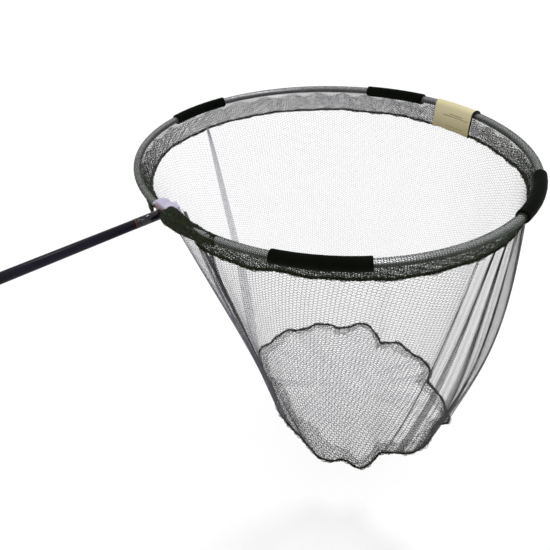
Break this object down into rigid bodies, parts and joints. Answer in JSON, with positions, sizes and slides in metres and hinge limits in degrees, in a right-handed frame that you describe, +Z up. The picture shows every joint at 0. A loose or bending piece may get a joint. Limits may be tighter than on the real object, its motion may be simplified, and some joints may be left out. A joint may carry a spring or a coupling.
{
  "type": "landing net",
  "caption": "Oval landing net with a deep netting bag and foam floats, on a screw-on telescopic handle.",
  "frame": {"origin": "on the handle's axis, in the middle of the hand grip", "axes": "+X along the handle towards the head and the far side of the frame, +Z up and out of the bag, +Y to the left seen from the hand"},
  "size_m": [1.0925, 0.6252, 0.4838],
  "materials": {
    "cap_rubber": "matte",
    "grip_foam": "matte",
    "dark_tube": "satin",
    "copper_ring": "polished",
    "bush_plastic": "matte",
    "ferrule": "gloss",
    "brass": "machined",
    "steel": "brushed",
    "block": "satin",
    "frame_metal": "satin",
    "sleeve_netting": "knitted",
    "bag_netting": "knitted",
    "seam_cord": "braided",
    "float_foam": "foam",
    "label": "woven"
  },
  "bodies": {
    "butt_section": {"butt_cap": "cap_rubber", "hand_grip": "grip_foam", "outer_tube": "dark_tube", "mouth_ring": "copper_ring", "mouth_bush": "bush_plastic"},
    "inner_section": {"inner_tube": "dark_tube", "stop_bush": "bush_plastic", "end_ferrule": "ferrule", "threaded_insert": "brass"},
    "washer": {"lock_washer": "cap_rubber"},
    "head": {"threaded_stud": "steel", "stud_nut": "steel", "head_block": "block", "right_arm_screw": "steel", "left_arm_screw": "steel", "frame_tube": "frame_metal", "mesh_sleeve": "sleeve_netting", "sleeve_wrap": "sleeve_netting", "rim_seam_cord": "seam_cord", "float_front": "float_foam", "float_right": "float_foam", "float_back_right": "float_foam", "float_back_left": "float_foam", "fabric_label": "label", "bag_wall": "bag_netting", "bag_base": "bag_netting", "base_seam_cord": "seam_cord"}
  },
  "joints": [
    {"name": "handle_extend", "type": "slide", "parent": "butt_section", "child": "inner_section", "axis": [1, 0, 0], "range_m": [0, 0.43]},
    {"name": "thread_travel", "type": "slide", "parent": "inner_section", "child": "washer", "axis": [1, 0, 0], "range_m": [0, 0.0078]},
    {"name": "head_unscrew", "type": "hinge", "parent": "washer", "child": "head", "pos_m": [0.4722, 0, 0], "axis": [1, 0, 0], "range_deg": [0, 2160]}
  ],
  "couplings": [
    {"joint": "thread_travel", "follows": "head_unscrew", "m_per_rad": 0.00020213}
  ]
}
